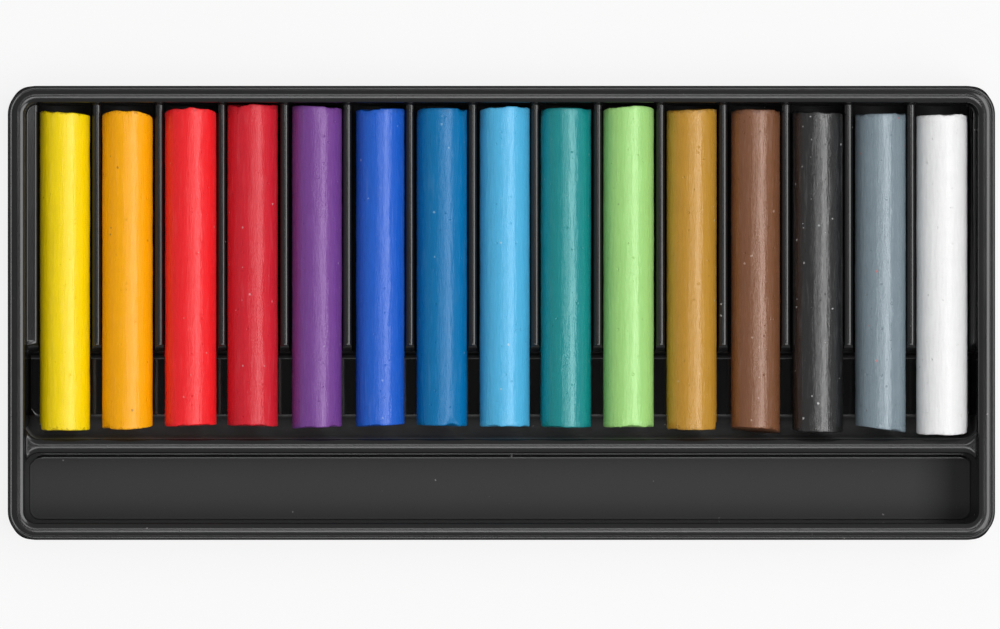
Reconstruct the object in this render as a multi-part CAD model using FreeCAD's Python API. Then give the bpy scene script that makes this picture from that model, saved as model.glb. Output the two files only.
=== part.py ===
import FreeCAD, Part
import math
import os

# A shallow tray, drawn from one thin plastic sheet, with a row of round pastel sticks in its grooves.
# Lengths are in millimetres and angles in degrees. X runs along the tray, +Y towards the far ends of
# the sticks, +Z up, and the origin is under the middle of the tray, on the surface it stands on.

# The sheet that the tray is drawn from
sheet = 0.45

# How far cutting shapes reach past what they cut, the shortest straight that is drawn, and how
# nearly two circles touch where the line passes from one to the other with no straight
overrun = 2.0
least_straight = 0.0001
nearly_whole_share = 0.999999

# Pastel sticks
stick_diameter = 11.0
stick_length = 69.5
stick_edge = 0.45
stick_seat_gap = 0.12
stick_side_room = 0.35
stick_end_room = 3.0
stick_end_gap = 0.12

# Ridges between the grooves, and the ledges at the two ends of the row
ridge_width = 1.94
groove_floor_height = 5.0
left_ledge = 2.45
right_ledge = 1.37
ridge_nose_radius = 0.75
trough_width = 18.84
groove_end_run = 0.75

# Rim, from the outside inwards: a thin lip, a shallow valley and a broad bead
tray_height = 16.8
skirt_flare = 0.45
base_corner_radius = 4.4
rim_corner_radius = 6.2
lip_radius = 0.54
lip_drop = 0.16
valley_radius = 0.5
bead_radius = 2.8
bead_inset = 2.1
inner_edge_radius = 0.6
inner_edge_angle = 25.0
rim_joint_drop = 1.4

# Walls and floors of the two wells
wall_run = 0.8
well_corner_radius = 2.6
foot_radius = 0.5

# Rib between the stick bay and the lower well
rib_height = 13.0
rib_crown_radius = 2.8
rib_edge_radius = 0.6
rib_edge_angle = 25.0
rib_well_spread = 2.75
rib_trough_spread = 6.4
trough_cove_radius = 4.5
trough_corner_radius = 3.0
lower_well_width = 15.12

# Each stick: its name, how far it has slid from the far wall as a share of the room that the row
# uses, and how its length, thickness and sideways lean differ as shares of the nominal ones
row_slide = 2.0
stick_shares = [
    ("pastel_yellow", 0.60, -0.003, -0.010, -0.30),
    ("pastel_orange", 0.50, 0.000, 0.000, -0.40),
    ("pastel_red", 0.30, -0.006, 0.020, 0.00),
    ("pastel_crimson", 0.00, 0.002, 0.000, -0.50),
    ("pastel_violet", 0.05, 0.007, -0.010, 0.50),
    ("pastel_ultramarine", 0.38, -0.007, -0.040, 0.55),
    ("pastel_blue", 0.38, -0.010, 0.000, 0.40),
    ("pastel_sky_blue", 0.10, -0.001, -0.010, 0.40),
    ("pastel_teal", 0.38, -0.006, 0.000, -0.50),
    ("pastel_light_green", 0.05, 0.002, 0.000, -0.45),
    ("pastel_ochre", 0.45, 0.000, -0.010, -0.10),
    ("pastel_brown", 0.50, 0.000, -0.030, 0.40),
    ("pastel_black", 0.70, 0.004, 0.010, 0.50),
    ("pastel_grey", 0.92, -0.006, 0.000, 0.40),
    ("pastel_white", 1.00, 0.000, 0.010, -0.40),
]
stick_count = len(stick_shares)

# Sizes that follow from the ones above
ridge_radius = ridge_width / 2
groove_radius = stick_diameter / 2 + stick_side_room
groove_pitch = 2 * (groove_radius + ridge_radius)
groove_axis_height = groove_floor_height + groove_radius
ridge_top_height = groove_axis_height + ridge_radius
floor_height = sheet

bead_centre = (skirt_flare + bead_inset, tray_height - bead_radius)
lip_centre = (skirt_flare + lip_radius, tray_height - lip_drop - lip_radius)
inner_edge_reach = bead_radius - inner_edge_radius
inner_edge_centre = (
    bead_centre[0] + inner_edge_reach * math.sin(math.radians(inner_edge_angle)),
    bead_centre[1] + inner_edge_reach * math.cos(math.radians(inner_edge_angle)),
)
wall_top_inset = inner_edge_centre[0] + inner_edge_radius
wall_foot_inset = wall_top_inset + wall_run
rim_joint_height = tray_height - rim_joint_drop
corner_centre_inset = skirt_flare + rim_corner_radius


def inset_point(first, first_reach, second, second_reach):
    """The upper point that lies first_reach from one centre and second_reach from the other."""
    across = second[0] - first[0]
    up = second[1] - first[1]
    span = math.hypot(across, up)
    along = (first_reach**2 - second_reach**2 + span**2) / (2 * span)
    aside = math.sqrt(first_reach**2 - along**2)
    return (
        first[0] + (along * across - aside * up) / span,
        first[1] + (along * up + aside * across) / span,
    )


def touching_normal(first, second):
    """The normal, left of the way from first to second, of the line that touches both circles.

    A circle is (place, height, radius), with a minus radius where the sheet bends upwards."""
    across = second[0] - first[0]
    up = second[1] - first[1]
    span = math.hypot(across, up)
    lean = (first[2] - second[2]) / span
    if abs(lean) > nearly_whole_share:
        lean = math.copysign(1, lean)
    rise = math.sqrt(1 - lean * lean)
    return ((lean * across - rise * up) / span, (lean * up + rise * across) / span)


def touch(circle, normal, depth):
    """The point of a circle that faces along normal, for a face that lies depth inside the sheet."""
    reach = circle[2] - depth
    return (circle[0] + reach * normal[0], circle[1] + reach * normal[1])


def sheet_edges(circles, depth, place, level=None):
    """Edges of the line that runs over the circles, straight where they stand apart.

    With a level, the line starts and ends at that height."""
    normals = []
    for first, second in zip(circles, circles[1:]):
        normals.append(touching_normal(first, second))
    edges = []
    for number, normal in enumerate(normals):
        start = place(*touch(circles[number], normal, depth))
        end = place(*touch(circles[number + 1], normal, depth))
        if level is not None and number == 0:
            start = place(slope(circles[0], circles[1], depth, level), level)
        if level is not None and number == len(normals) - 1:
            end = place(slope(circles[-2], circles[-1], depth, level), level)
        if number > 0:
            edges.append(bend(circles[number], normals[number - 1], normal, depth, place))
        if start.distanceToPoint(end) > least_straight:
            edges.append(Part.LineSegment(start, end).toShape())
    return edges


def bend(circle, before, after, depth, place):
    """The arc of a circle between two normals, clockwise over a crest and the other way in a hollow."""
    start_angle = math.atan2(before[1], before[0])
    end_angle = math.atan2(after[1], after[0])
    full_turn = 2 * math.pi
    if circle[2] > 0:
        middle_angle = start_angle - ((start_angle - end_angle) % full_turn) / 2
    else:
        middle_angle = start_angle + ((end_angle - start_angle) % full_turn) / 2
    middle = (math.cos(middle_angle), math.sin(middle_angle))
    points = [place(*touch(circle, normal, depth)) for normal in (before, middle, after)]
    return Part.Arc(*points).toShape()


def closed_face(edges, corners):
    """A face from a chain of edges, closed through the corner points after it."""
    chain = Part.Wire(edges)
    first = chain.OrderedVertexes[0].Point
    last = chain.OrderedVertexes[-1].Point
    path = [last] + corners + [first]
    closing = [Part.LineSegment(a, b).toShape() for a, b in zip(path, path[1:])]
    return Part.Face(Part.Wire(Part.__sortEdges__(list(edges) + closing)))


def rounded_outline(length, width, radius, height):
    """A closed rectangle with round corners, level at a height."""
    half_length = length / 2
    half_width = width / 2
    diagonal = radius * math.sqrt(0.5)
    edges = []
    for across, up in ((1, 1), (-1, 1), (-1, -1), (1, -1)):
        centre = FreeCAD.Vector(across * (half_length - radius), up * (half_width - radius), height)
        side = centre + FreeCAD.Vector(across * radius, 0, 0)
        end = centre + FreeCAD.Vector(0, up * radius, 0)
        middle = centre + FreeCAD.Vector(across * diagonal, up * diagonal, 0)
        if across * up > 0:
            edges.append((side, middle, end))
        else:
            edges.append((end, middle, side))
    outline = []
    for number, (start, middle, end) in enumerate(edges):
        following = edges[(number + 1) % len(edges)][0]
        outline.append(Part.Arc(start, middle, end).toShape())
        outline.append(Part.LineSegment(end, following).toShape())
    return Part.Wire(outline)


def slope(first, second, depth, height):
    """How far in the straight stretch between two circles lies at a height."""
    normal = touching_normal(first, second)
    start = touch(first, normal, depth)
    end = touch(second, normal, depth)
    return start[0] + (end[0] - start[0]) * (height - start[1]) / (end[1] - start[1])


# The rim's line, from the foot of the skirt over the lip and the bead to the foot of the inner wall
valley_centre = inset_point(
    lip_centre, lip_radius + valley_radius, bead_centre, bead_radius + valley_radius
)
skirt_foot = (0, 0, 0)
lip = (lip_centre[0], lip_centre[1], lip_radius)
valley = (valley_centre[0], valley_centre[1], -valley_radius)
bead = (bead_centre[0], bead_centre[1], bead_radius)
inner_edge = (inner_edge_centre[0], inner_edge_centre[1], inner_edge_radius)
wall_foot = (wall_foot_inset, floor_height, 0)
rim_line = [skirt_foot, lip, valley, bead, inner_edge, wall_foot]

# The rib's line, across its width, from its crest
rib_crown_height = rib_height - rib_crown_radius
rib_edge_reach = rib_crown_radius - rib_edge_radius
rib_edge_aside = rib_edge_reach * math.sin(math.radians(rib_edge_angle))
rib_edge_height = rib_crown_height + rib_edge_reach * math.cos(math.radians(rib_edge_angle))
rib_half_width = rib_edge_aside + rib_edge_radius

# Places along the tray, from the row of grooves outwards
ledge_wall_inset = slope(inner_edge, wall_foot, 0, ridge_top_height)
row_length = (stick_count - 1) * groove_pitch + 2 * groove_radius
tray_length = row_length + left_ledge + right_ledge + 2 * ledge_wall_inset
first_groove_x = ledge_wall_inset + left_ledge + groove_radius - tray_length / 2
groove_places = [first_groove_x + number * groove_pitch for number in range(stick_count)]

# Places across the tray, from the far wall to the near one
far_wall_inset = slope(inner_edge, wall_foot, 0, groove_floor_height)
bay_width = stick_length + stick_end_room
tray_width = far_wall_inset + bay_width + 2 * rib_half_width + lower_well_width + wall_top_inset
far_wall_y = tray_width / 2 - far_wall_inset
rib_y = far_wall_y - bay_width - rib_half_width
ridge_nose_y = rib_y + rib_half_width + trough_width
groove_foot_y = ridge_nose_y - groove_end_run - foot_radius


def across_tray(x):
    """A place function for outlines that stand across the tray at x."""
    return lambda y, height: FreeCAD.Vector(x, y, height)


def along_tray(y):
    """A place function for outlines that stand along the tray at y."""
    return lambda x, height: FreeCAD.Vector(x, y, height)


def outer_body(depth, bottom):
    """The block inside the skirt, up to where the rim's cap sits, and on down to the bottom."""
    low = slope(skirt_foot, lip, depth, 0)
    high = slope(skirt_foot, lip, depth, rim_joint_height)
    low_outline = rounded_outline(
        tray_length - 2 * low, tray_width - 2 * low, base_corner_radius - depth, 0
    )
    high_outline = rounded_outline(
        tray_length - 2 * high, tray_width - 2 * high, corner_centre_inset - high, rim_joint_height
    )
    block = Part.makeLoft([low_outline, high_outline], True, True)
    if bottom < 0:
        block = block.fuse(Part.Face(low_outline).extrude(FreeCAD.Vector(0, 0, bottom)))
    return block


def well(depth):
    """The hollow inside the rim, down to the floor, with a small bend round its foot."""
    bottom = floor_height - depth
    low = slope(inner_edge, wall_foot, depth, bottom)
    high = slope(inner_edge, wall_foot, depth, rim_joint_height)
    low_outline = rounded_outline(
        tray_length - 2 * low, tray_width - 2 * low, well_corner_radius + depth, bottom
    )
    high_outline = rounded_outline(
        tray_length - 2 * high, tray_width - 2 * high, corner_centre_inset - high, rim_joint_height
    )
    hollow = Part.makeLoft([low_outline, high_outline], True, True)
    foot_edges = [edge for edge in hollow.Edges if edge.BoundBox.ZMax < bottom + least_straight]
    return hollow.makeFillet(foot_radius + depth, foot_edges)


def rim_cap(depth):
    """The lip, valley and bead, run along the four sides and turned round the four corners."""
    pieces = []
    half_turn = 180
    quarter_turn = half_turn / 2
    for turns in range(4):
        if turns % 2 == 0:
            length, width = tray_length, tray_width
        else:
            length, width = tray_width, tray_length
        straight = length - 2 * corner_centre_inset
        side_end = length / 2 - corner_centre_inset

        def place(inset, height):
            return FreeCAD.Vector(side_end, inset - width / 2, height)

        section = closed_face(sheet_edges(rim_line, depth, place, rim_joint_height), [])
        side = section.extrude(FreeCAD.Vector(-straight, 0, 0))
        centre = FreeCAD.Vector(side_end, corner_centre_inset - width / 2, 0)
        corner = section.revolve(centre, FreeCAD.Vector(0, 0, 1), quarter_turn)
        for piece in (side, corner):
            piece.rotate(FreeCAD.Vector(), FreeCAD.Vector(0, 0, 1), turns * quarter_turn)
            pieces.append(piece)
    return pieces[0].fuse(pieces[1:])


def groove_line():
    """The line over the ledges, grooves and ridges, along the row."""
    reach = tray_length / 2 - bead_centre[0]
    line = [(-reach, ridge_top_height, 0)]
    line.append((groove_places[0] - groove_pitch / 2, groove_axis_height, ridge_radius))
    for x in groove_places:
        line.append((x, groove_axis_height, -groove_radius))
        line.append((x + groove_pitch / 2, groove_axis_height, ridge_radius))
    line.append((reach, ridge_top_height, 0))
    return line


def groove_field(depth, bottom):
    """The block of half-round grooves, with round-nosed ridges that end over the trough."""
    far_y = tray_width / 2 - bead_centre[0]
    reach = tray_length / 2 - bead_centre[0]
    edges = sheet_edges(groove_line(), depth, along_tray(far_y))
    corners = [FreeCAD.Vector(reach, far_y, bottom), FreeCAD.Vector(-reach, far_y, bottom)]
    block = closed_face(edges, corners).extrude(FreeCAD.Vector(0, groove_foot_y - far_y, 0))
    end_line = [
        (groove_foot_y - overrun, floor_height, 0),
        (groove_foot_y, floor_height + foot_radius, -foot_radius),
        (ridge_nose_y, ridge_top_height, 0),
    ]
    top = ridge_top_height + overrun
    left = -reach - overrun
    end_edges = sheet_edges(end_line, depth, across_tray(left))
    end_corners = [
        FreeCAD.Vector(left, ridge_nose_y + depth, top),
        FreeCAD.Vector(left, groove_foot_y - overrun, top),
    ]
    air = closed_face(end_edges, end_corners).extrude(FreeCAD.Vector(2 * (reach + overrun), 0, 0))
    block = block.cut(air)
    nose_edges = []
    for edge in block.Edges:
        box = edge.BoundBox
        at_end = box.YMax < ridge_nose_y + depth + least_straight
        on_top = box.ZMin > groove_floor_height - depth - least_straight
        if at_end and on_top and box.XLength > least_straight:
            nose_edges.append(edge)
    return block.makeFillet(ridge_nose_radius - depth, nose_edges)


def rib(depth, bottom):
    """The rib between the bay and the lower well, with a wide cove on the trough's side."""
    reach = tray_length / 2 - bead_centre[0]
    well_foot = rib_y - rib_well_spread
    trough_foot = rib_y + rib_trough_spread
    line = [
        (well_foot - foot_radius, floor_height, 0),
        (well_foot, floor_height + foot_radius, -foot_radius),
        (rib_y - rib_edge_aside, rib_edge_height, rib_edge_radius),
        (rib_y, rib_crown_height, rib_crown_radius),
        (rib_y + rib_edge_aside, rib_edge_height, rib_edge_radius),
        (trough_foot, floor_height + trough_cove_radius, -trough_cove_radius),
        (trough_foot + foot_radius, floor_height, 0),
    ]
    edges = sheet_edges(line, depth, across_tray(-reach))
    corners = [
        FreeCAD.Vector(-reach, trough_foot + foot_radius, bottom),
        FreeCAD.Vector(-reach, well_foot - foot_radius, bottom),
    ]
    return closed_face(edges, corners).extrude(FreeCAD.Vector(2 * reach, 0, 0))


def corner_web(side, facing, radius, depth, bottom):
    """The rounded inner corner where the rib meets a side wall."""
    wall_x = tray_length / 2 - slope(inner_edge, wall_foot, 0, rib_edge_height)
    centre_x = wall_x - radius
    centre_y = rib_y + facing * (rib_half_width + radius)
    outer_x = tray_length / 2 - bead_centre[0]
    top = rib_edge_height + rib_edge_radius * math.cos(math.radians(rib_edge_angle)) - depth
    block = Part.makeBox(
        outer_x - centre_x,
        abs(centre_y - rib_y),
        top - bottom,
        FreeCAD.Vector(centre_x, min(centre_y, rib_y), bottom),
    )
    round_hole = Part.makeCylinder(
        radius + depth, top - bottom + 2 * overrun, FreeCAD.Vector(centre_x, centre_y, bottom - overrun)
    )
    web = block.cut(round_hole)
    if side < 0:
        web = web.mirror(FreeCAD.Vector(), FreeCAD.Vector(1, 0, 0))
    return web


def hill(depth, bottom):
    """Everything under one face of the sheet: the upper face at no depth, the lower one at its own."""
    shape = outer_body(depth, bottom).cut(well(depth))
    extras = [rim_cap(depth), groove_field(depth, bottom), rib(depth, bottom)]
    for side in (-1, 1):
        extras.append(corner_web(side, 1, trough_corner_radius, depth, bottom))
        extras.append(corner_web(side, -1, well_corner_radius, depth, bottom))
    return shape.fuse(extras).removeSplitter()


def make_tray():
    """The drawn sheet, between its upper and its lower face."""
    return hill(0, 0).cut(hill(sheet, -overrun)).removeSplitter()


def make_stick(number):
    """One pastel stick, lying in its groove."""
    name, slide_share, length_share, thickness_share, lean_share = stick_shares[number]
    radius = stick_diameter / 2 * (1 + thickness_share)
    length = stick_length * (1 + length_share)
    room = groove_radius - radius - stick_seat_gap
    lean = lean_share * math.pi / 2
    x = groove_places[number] + room * math.sin(lean)
    height = groove_axis_height - room * math.cos(lean)
    far_end = far_wall_y - stick_end_gap - slide_share * row_slide
    start = FreeCAD.Vector(x, far_end, height)
    stick = Part.makeCylinder(radius, length, start, FreeCAD.Vector(0, -1, 0))
    ends = [edge for edge in stick.Edges if edge.BoundBox.YLength < least_straight]
    return stick.makeFillet(stick_edge, ends)


def main():
    os.makedirs("parts", exist_ok=True)
    shapes = {"tray": make_tray()}
    for number, shares in enumerate(stick_shares):
        shapes[shares[0]] = make_stick(number)
    for name, shape in shapes.items():
        solids = shape.Solids
        print(name, "solids", len(solids), "valid", shape.isValid(), "volume", round(shape.Volume))
        solids[0].exportStep(os.path.join("parts", name + ".step"))
    print("tray length", tray_length, "width", tray_width, "height", tray_height)
    print("rib at", rib_y, "ridge noses at", ridge_nose_y, "groove foot at", groove_foot_y)


main()
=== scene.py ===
import math
import random
from collections import namedtuple
from contextlib import contextmanager

import bmesh
import bpy
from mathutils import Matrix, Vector


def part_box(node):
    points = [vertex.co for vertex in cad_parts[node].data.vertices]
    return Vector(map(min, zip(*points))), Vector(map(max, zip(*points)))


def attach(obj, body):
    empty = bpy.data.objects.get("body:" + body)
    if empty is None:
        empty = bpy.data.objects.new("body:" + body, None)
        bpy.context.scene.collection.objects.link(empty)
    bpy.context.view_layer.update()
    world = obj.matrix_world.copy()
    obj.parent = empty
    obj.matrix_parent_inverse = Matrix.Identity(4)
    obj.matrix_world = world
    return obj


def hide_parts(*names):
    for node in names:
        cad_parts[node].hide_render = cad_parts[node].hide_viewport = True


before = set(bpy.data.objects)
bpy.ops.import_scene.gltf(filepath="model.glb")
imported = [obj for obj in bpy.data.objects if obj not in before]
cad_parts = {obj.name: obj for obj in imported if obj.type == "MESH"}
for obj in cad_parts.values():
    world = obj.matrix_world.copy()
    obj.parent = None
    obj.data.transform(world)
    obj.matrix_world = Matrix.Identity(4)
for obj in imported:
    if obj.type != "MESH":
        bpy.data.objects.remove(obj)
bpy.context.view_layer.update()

# A black tray, drawn from one thin plastic sheet, with a row of fifteen round pastel sticks.
# Everything is in metres, X along the tray, +Y towards the far ends of the sticks and +Z up.

bl_info = {
    "name": "Pastel Stick Tray",
    "version": (1, 0, 0),
    "blender": (4, 5, 0),
    "location": "3D View > Sidebar > Pastel Tray",
    "description": "Builds a drawn plastic tray with a row of round pastel sticks in its grooves",
    "category": "Add Mesh",
}

# The box of the CAD model, and of its tray
tray_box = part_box("tray")
millimetre = 0.001


def length(name, description, millimetres):
    """A length that the panel shows, given in millimetres and held in metres."""
    return bpy.props.FloatProperty(
        name=name,
        description=description,
        default=millimetres * millimetre,
        min=0,
        precision=5,
        unit="LENGTH",
        subtype="DISTANCE",
    )


def angle(name, description, degrees):
    """An angle that the panel shows, given in degrees."""
    return bpy.props.FloatProperty(
        name=name, description=description, default=math.radians(degrees), unit="ROTATION", subtype="ANGLE"
    )


def amount(name, description, default):
    """A plain factor that the panel shows."""
    return bpy.props.FloatProperty(name=name, description=description, default=default, min=0)


def colour(name, description, default):
    """A linear colour that the panel shows."""
    return bpy.props.FloatVectorProperty(
        name=name, description=description, default=default, size=3, min=0, max=1, subtype="COLOR"
    )


class TraySizes(bpy.types.PropertyGroup):
    """Sizes of the drawn tray. Its length, width and height are the CAD model's."""

    sheet: length("Sheet", "Thickness of the drawn sheet", 0.45)
    skirt_flare: length("Skirt flare", "How far the skirt's foot stands out from its top", 0.45)
    base_corner: length("Base corner", "Radius of the skirt's foot at a corner", 4.4)
    rim_corner: length("Rim corner", "Radius of the skirt's top at a corner", 6.2)
    lip_radius: length("Lip", "Radius of the thin outer lip", 0.54)
    lip_drop: length("Lip drop", "How far the lip lies under the bead's top", 0.16)
    valley_radius: length("Valley", "Radius between the lip and the bead", 0.2)
    bead_radius: length("Bead", "Radius of the broad bead", 2.8)
    bead_inset: length("Bead inset", "From the skirt's top to the middle of the bead", 2.1)
    inner_edge_radius: length("Inner edge", "Radius where the bead turns down", 0.6)
    inner_edge_angle: angle("Inner edge angle", "Where on the bead the inner edge starts", 25)
    wall_run: length("Wall run", "How far the inner wall leans in on its way down", 0.3)
    well_shift: length("Well shift", "How far the wells' floor lies left of the middle", 0.3)
    well_corner: length("Well corner", "Radius of the wells' corners at the floor", 2.4)
    crease_radius: length("Crease", "Radius of the sheet's inner bends", 0.4)
    ridge_radius: length("Ridge", "Half the width of a ridge", 0.97)
    ridge_rise: length("Ridge rise", "How far the ridges stand above the middle of the grooves", 0.66)
    groove_radius: length("Groove", "Radius of the grooves", 5.85)
    groove_floor: length("Groove floor", "Height of the grooves' lowest line", 5.0)
    first_groove: length("First groove", "From the tray's left end to the middle of the first groove", 12.595)
    nose_radius: length("Ridge nose", "Radius of the ridges' near ends", 3.0)
    nose_run: length("Nose run", "How far the ridges' ends lean out on their way down", 0.75)
    rib_place: length("Rib", "From the tray's far side to the middle of the rib", 78.675)
    trough_width: length("Trough", "From the rib to the ridges' ends", 18.84)
    rib_height: length("Rib height", "Height of the rib", 13.0)
    rib_crown: length("Rib crown", "Radius of the rib's crown", 2.8)
    rib_edge_radius: length("Rib edge", "Radius of the rib's two edges", 0.6)
    rib_edge_angle: angle("Rib edge angle", "Where on the crown the edges start", 25)
    rib_well_spread: length("Rib foot", "From the rib's middle to its foot in the lower well", 2.75)
    rib_trough_spread: length("Rib cove foot", "From the rib's middle to its foot in the trough", 6.4)
    trough_cove: length("Trough cove", "Radius of the rib's long foot in the trough", 4.5)
    trough_corner: length("Trough corner", "Radius of the trough's two corners at the rib", 3.0)


class StickSizes(bpy.types.PropertyGroup):
    """Sizes that all the sticks share. Their lengths and places follow the CAD model's."""

    edge_radius: length("Edge", "Radius of the worn edge at each end", 0.25)
    waviness: length("Waviness", "How far the rolled surface wanders in and out", 0.06)
    end_roughness: length("End roughness", "How ragged the broken ends are", 0.08)
    chip_depth: length("Chips", "How deep the chips at the ends are", 0.32)
    far_reach: length("Far reach", "How far the far ends stand out beyond the CAD model's sticks", 0.3)


class StageSettings(bpy.types.PropertyGroup):
    """Camera, light and floor."""

    camera_height: length("Camera height", "From the sticks' middles up to the camera", 1400)
    camera_level: length("Camera level", "Height of the plane that the view is measured in", 10.5)
    view_width: length("View width", "Width of the view at that plane", 217.8)
    key_light: amount("Key light", "Brightness of the large soft light on the right", 4.5)
    front_light: amount("Front light", "Brightness of the soft light in front of the camera", 5.2)
    back_light: amount("Back light", "Brightness of the soft light behind the camera", 5.2)
    sky_light: amount("Sky light", "Brightness of the soft light from all round", 0.35)
    floor_size: length("Floor size", "Width and depth of the floor", 40000)
    floor_glow: amount("Floor glow", "How much the floor shines of itself", 0.84)


class TrayColours(bpy.types.PropertyGroup):
    """Colours of the plastic, the dust on it and the floor."""

    plastic: colour("Plastic", "Colour of the sheet", (0.010, 0.010, 0.0105))
    satin: colour("Satin", "Colour of the lower well's satin floor", (0.037, 0.037, 0.037))
    # Painted light: the rib's slope towards the trough gets this lighter colour, standing in for the light
    # that the slope catches.
    painted_slope_light: colour("Painted slope light", "Colour of the rib's slope, where pastel dust settles", (0.16, 0.16, 0.16))
    dust: colour("Dust", "Colour of the dust and rubbed marks", (0.45, 0.44, 0.42))
    floor: colour("Floor", "Colour of the floor", (0.12, 0.12, 0.12))


# Each stick: its colour, the specks on it and how many cells hold one, how dirty its ends are, how
# streaky and mottled its skin is, how much it shines, and how the far and the near end are cut: how much
# the top stands out in front of the sides, and the right side in front of the left, by the radius
Stick = namedtuple(
    "Stick", "name colour specks speck_share dirt_share gloss_share shine_share far_shares near_shares"
)
sticks = [Stick(*row) for row in [
    ("yellow", (1, 0.735, 0.0008), (0.3, 0.16, 0.01), 0.05, 0.6, 0.5, 0.6, (0.04, -0.08), (0.02, 0)),
    ("orange", (1, 0.43, 0.0008), (0.2, 0.1, 0.03), 0.1, 0.6, 0.5, 0.48, (0.26, -0.04), (0.1, -0.04)),
    ("red", (0.94, 0.018, 0.024), (0.75, 0.3, 0.28), 0.1, 0.4, 0.6, 0.54, (0.2, 0), (0.02, -0.03)),
    ("crimson", (0.663, 0.016, 0.03), (0.7, 0.35, 0.36), 0.12, 0.4, 0.7, 0.48, (0, 0), (0, 0.02)),
    ("violet", (0.181, 0.055, 0.282), (0.45, 0.36, 0.5), 0.08, 0.3, 0.6, 0.6, (0.02, -0.05), (0, -0.04)),
    ("ultramarine", (0.012, 0.115, 0.6), (0.3, 0.42, 0.75), 0.08, 0.3, 0.6, 0.66, (0.02, 0.03), (0, -0.06)),
    ("blue", (0.0008, 0.166, 0.415), (0.25, 0.45, 0.6), 0.08, 0.3, 0.6, 0.48, (0.04, 0), (0, 0.02)),
    ("sky_blue", (0.08, 0.464, 0.77), (0.5, 0.62, 0.7), 0.08, 0.2, 0.5, 0.72, (0.1, 0.04), (0, 0)),
    ("teal", (0.0008, 0.244, 0.255), (0.3, 0.5, 0.48), 0.08, 0.3, 0.6, 0.96, (0.03, 0), (0.02, 0)),
    ("light_green", (0.365, 0.7, 0.212), (0.22, 0.4, 0.12), 0.06, 0.2, 0.5, 0.84, (0.14, 0.03), (0, 0)),
    ("ochre", (0.512, 0.26, 0.028), (0.62, 0.46, 0.24), 0.12, 0.5, 0.7, 0.72, (0, 0.03), (0.04, 0)),
    ("brown", (0.198, 0.079, 0.035), (0.5, 0.34, 0.28), 0.14, 0.6, 0.9, 0.9, (0.06, 0), (-0.1, 0.1)),
    ("black", (0.012, 0.012, 0.012), (0.6, 0.6, 0.6), 0.22, 0.5, 1, 0.84, (0.03, -0.03), (0.06, 0.04)),
    ("grey", (0.191, 0.247, 0.285), (0.65, 0.1, 0.08), 0.05, 0.4, 0.8, 0.9, (0, 0.03), (0, 0.14)),
    ("white", (0.86, 0.86, 0.86), (0.55, 0.55, 0.54), 0.04, 0.2, 0.4, 0.3, (0.02, 0.03), (0.06, 0)),
]]
StickColours = type(
    "StickColours",
    (bpy.types.PropertyGroup,),
    {
        "__doc__": "Colours of the sticks, from left to right.",
        "__annotations__": {
            stick.name: colour(stick.name.replace("_", " ").capitalize(), "Colour of the stick", stick.colour)
            for stick in sticks
        },
    },
)


# Selecting and shaping


def select_only(*objects):
    """Selects these objects alone and makes the first one active."""
    bpy.ops.object.select_all(action="DESELECT")
    for obj in objects:
        obj.select_set(True)
    bpy.context.view_layer.objects.active = objects[0]


def add(name, operator, **values):
    """Adds a primitive with nothing else selected, names it and returns it."""
    bpy.ops.object.select_all(action="DESELECT")
    operator(**values)
    obj = bpy.context.active_object
    obj.name = name
    obj.data.name = name
    return obj


def settle(obj):
    """Puts an object's place and turn into its mesh."""
    select_only(obj)
    bpy.ops.object.transform_apply(location=True, rotation=True, scale=True)


@contextmanager
def editing(obj, kind):
    """Opens an object in edit mode with nothing selected, and closes it again."""
    select_only(obj)
    bpy.ops.object.mode_set(mode="EDIT")
    bpy.ops.mesh.select_mode(type=kind)
    bpy.ops.mesh.select_all(action="DESELECT")
    yield
    bpy.ops.object.mode_set(mode="OBJECT")


def pick(obj, kind, test):
    """Selects, in edit mode, the vertices, edges or faces that pass a test, and counts them."""
    bpy.ops.mesh.select_mode(type=kind)
    bpy.ops.mesh.select_all(action="DESELECT")
    mesh = bmesh.from_edit_mesh(obj.data)
    mesh.normal_update()
    items = {"VERT": mesh.verts, "EDGE": mesh.edges, "FACE": mesh.faces}[kind]
    found = [item for item in items if test(item)]
    for item in found:
        item.select_set(True)
    mesh.select_flush_mode()
    bmesh.update_edit_mesh(obj.data)
    return len(found)


def join(first, *others):
    """Joins objects into the first one."""
    select_only(first, *others)
    bpy.ops.object.join()
    return first


def finish_with(obj, kind, **values):
    """Adds a modifier with these values and applies it."""
    select_only(obj)
    bpy.ops.object.modifier_add(type=kind)
    modifier = obj.modifiers[-1]
    for key, value in values.items():
        setattr(modifier, key, value)
    bpy.ops.object.modifier_apply(modifier=modifier.name)


def cut(obj, tool):
    """Cuts a tool's shape out of an object and deletes the tool."""
    finish_with(obj, "BOOLEAN", operation="DIFFERENCE", object=tool, solver="EXACT")
    bpy.data.objects.remove(tool)


def face_outwards(obj):
    """Turns all of an object's faces outwards."""
    with editing(obj, "FACE"):
        bpy.ops.mesh.select_all(action="SELECT")
        bpy.ops.mesh.normals_make_consistent(inside=False)


# The kinds of faces inside the rim. Material slots tell them apart until the creases are rounded.
face_kinds = range(4)
wall_kind, floor_kind, rib_kind, groove_kind = face_kinds


def mark_faces(obj, kind):
    """Marks all faces as one kind, to tell them apart after a cut."""
    while len(obj.material_slots) < len(face_kinds):
        obj.data.materials.append(None)
    for face in obj.data.polygons:
        face.material_index = kind


# Profiles, made of circles that straight lines touch. A circle is (place, height, radius), with a
# minus radius where the line bends upwards.


def touching_normal(first, second):
    """The normal, left of the way from first to second, of the line that touches both circles."""
    across = second[0] - first[0]
    up = second[1] - first[1]
    span = math.hypot(across, up)
    lean = max(-1, min(1, (first[2] - second[2]) / span))
    rise = math.sqrt(1 - lean * lean)
    return ((lean * across - rise * up) / span, (lean * up + rise * across) / span)


def touch(circle, normal):
    """The point of a circle that faces along a normal."""
    return (circle[0] + circle[2] * normal[0], circle[1] + circle[2] * normal[1])


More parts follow.
